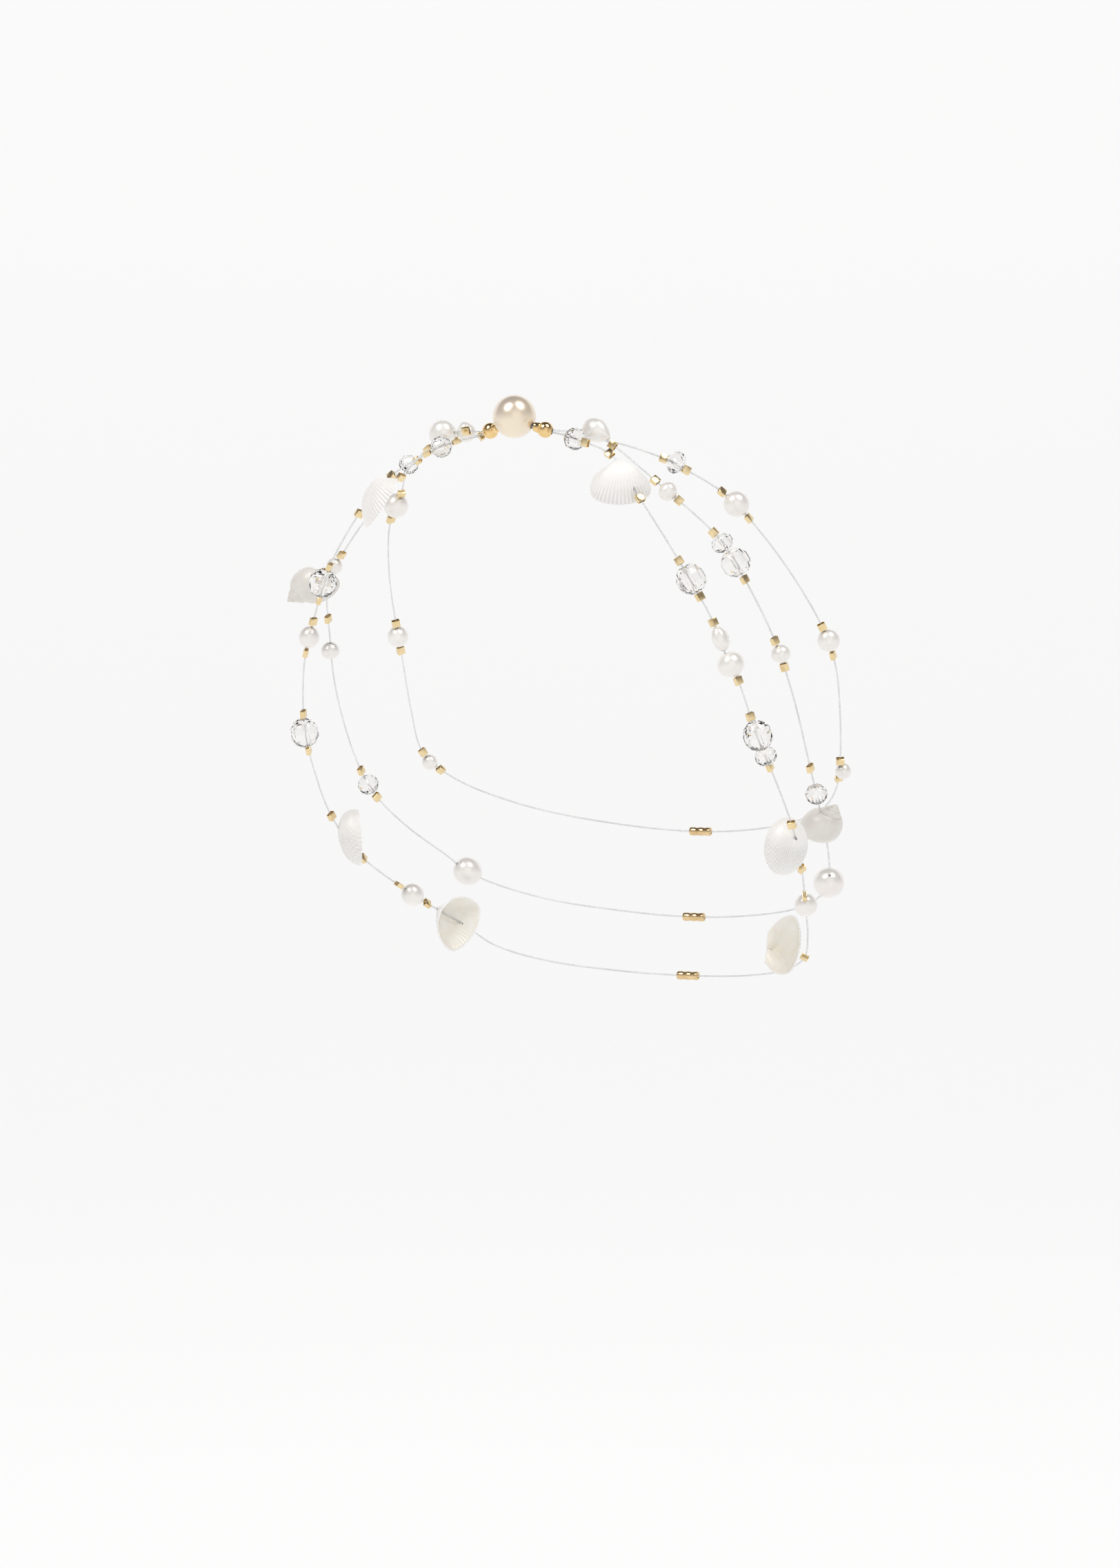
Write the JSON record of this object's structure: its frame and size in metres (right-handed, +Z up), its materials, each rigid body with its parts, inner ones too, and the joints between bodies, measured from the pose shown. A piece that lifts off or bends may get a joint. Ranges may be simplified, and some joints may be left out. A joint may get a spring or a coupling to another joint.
{
  "type": "diadem",
  "caption": "Diadem of clear thread loops strung with pearls, cut crystals and small sea shells, hanging from a large pearl at the top front of the head.",
  "frame": {"origin": "the seat on the head under the large pearl, at the top front of the head, in the middle", "axes": "+Z up, the wearer faces -Y, +X to the wearer's left"},
  "size_m": [0.161, 0.1422, 0.1771],
  "materials": {
    "pearl_cream": "soft cream pearl lustre",
    "pearl_white": "white pearl lustre",
    "crystal": "clear, cut and polished",
    "shell": "natural shell, satin",
    "gold": "polished yellow gold",
    "thread": "clear nylon monofilament"
  },
  "bodies": {
    "root": {"centre_pearl": "pearl_cream", "ball_left": "gold", "ball_right": "gold", "strand_a_left": "thread", "strand_a_right": "thread", "strand_b_left": "thread", "strand_b_right": "thread", "strand_c_left": "thread", "strand_c_right": "thread", "crystal_a1_left": "crystal", "crystal_a2_left": "crystal", "crystal_a3_left": "crystal", "crystal_a4_left": "crystal", "crystal_b1_left": "crystal", "crystal_b2_left": "crystal", "crystal_b3_left": "crystal", "crystal_c_left": "crystal", "crystal_a1_right": "crystal", "crystal_a2_right": "crystal", "crystal_a3_right": "crystal", "crystal_b_right": "crystal", "crystal_c_right": "crystal", "pearl_ridged_left": "pearl_white", "pearl_a1_left": "pearl_white", "pearl_a2_left": "pearl_white", "pearl_drop_left": "pearl_white", "pearl_b1_left": "pearl_white", "pearl_b2_left": "pearl_white", "pearl_b3_left": "pearl_white", "pearl_c1_left": "pearl_white", "pearl_c2_left": "pearl_white", "pearl_c3_left": "pearl_white", "pearl_a1_right": "pearl_white", "pearl_a2_right": "pearl_white", "pearl_oval_right": "pearl_white", "pearl_b1_right": "pearl_white", "pearl_b2_right": "pearl_white", "pearl_b3_right": "pearl_white", "pearl_pointed_right": "pearl_white", "pearl_c1_right": "pearl_white", "pearl_c2_right": "pearl_white", "pearl_c3_right": "pearl_white", "fan_front_left": "shell", "fan_front_right": "shell", "fan_nape_left": "shell", "fan_nape_right": "shell", "cockle_left": "shell", "cockle_right": "shell", "snail_left": "shell", "snail_right": "shell"}
  },
  "joints": []
}
